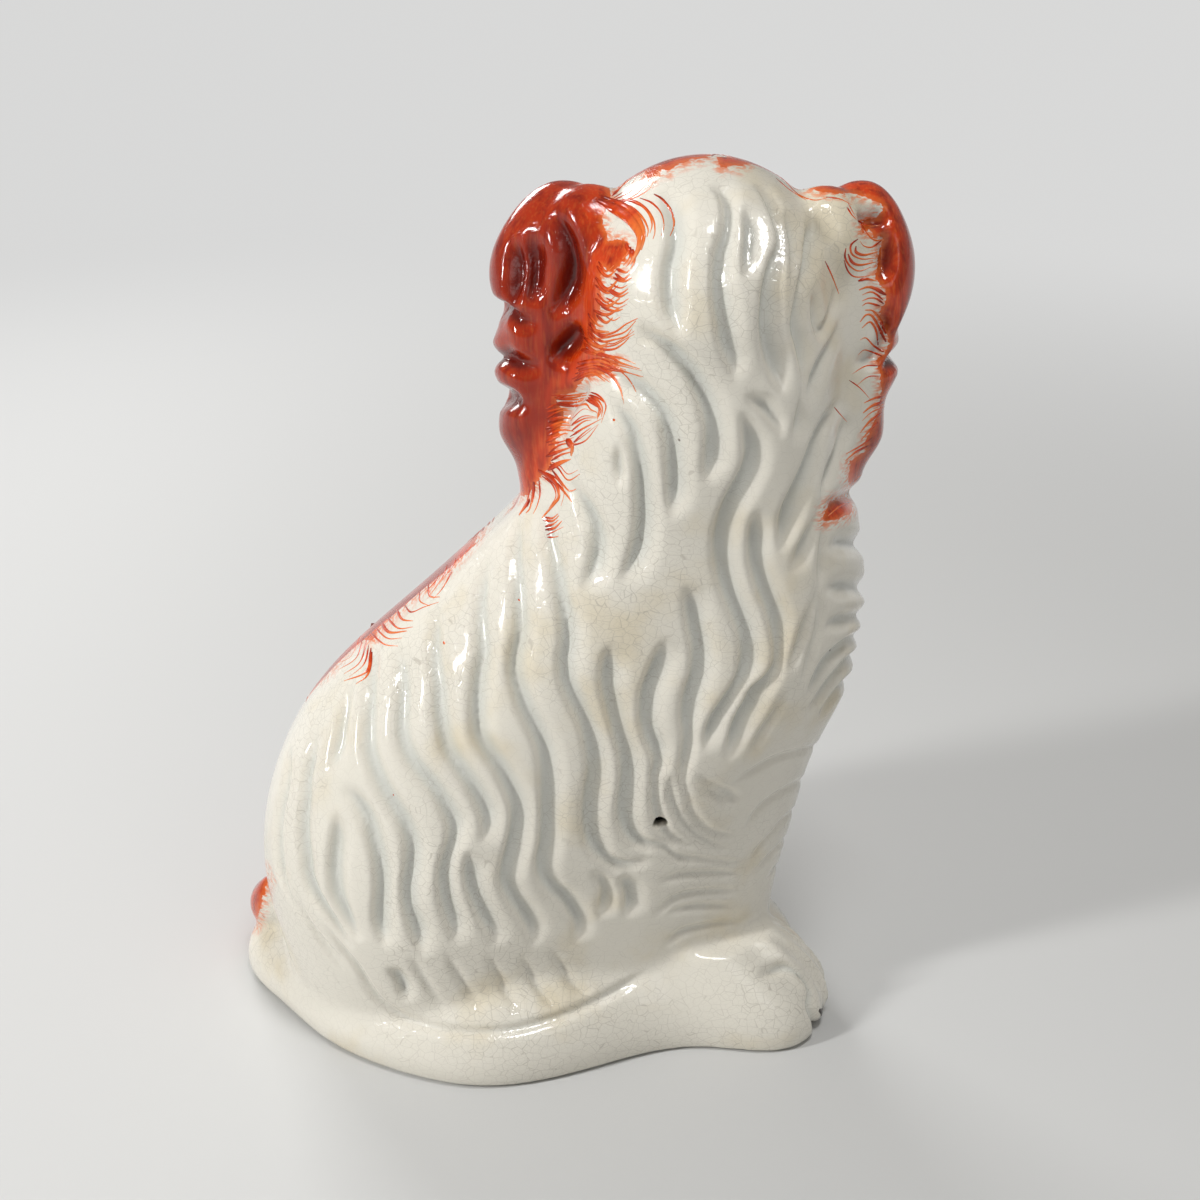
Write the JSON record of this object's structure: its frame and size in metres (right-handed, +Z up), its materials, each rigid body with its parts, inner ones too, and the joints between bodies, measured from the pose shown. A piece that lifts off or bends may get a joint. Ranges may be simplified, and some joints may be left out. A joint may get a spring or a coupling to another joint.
{
  "type": "staffordshire dog figure",
  "caption": "Seated spaniel mantel figure in press-moulded, glazed white earthenware with iron-red ears and flank, wavy modelled coat and a spreading foot.",
  "frame": {"origin": "centre of the figure's box, on the surface that it stands on", "axes": "+Z up, +X towards the rump, -X towards the forepaws, -Y the way the face looks"},
  "size_m": [0.1878, 0.1081, 0.247],
  "materials": {
    "glazed_earthenware": "glossy lead glaze, finely crazed, with iron-red enamel",
    "glazed_base": "thin glaze over the clay slab",
    "biscuit_clay": "unglazed inner clay"
  },
  "bodies": {
    "root": {"back_shell": "glazed_earthenware", "front_shell": "glazed_earthenware", "base_slab": "glazed_base", "base_roll": "biscuit_clay", "seam_roll": "biscuit_clay"}
  },
  "joints": []
}
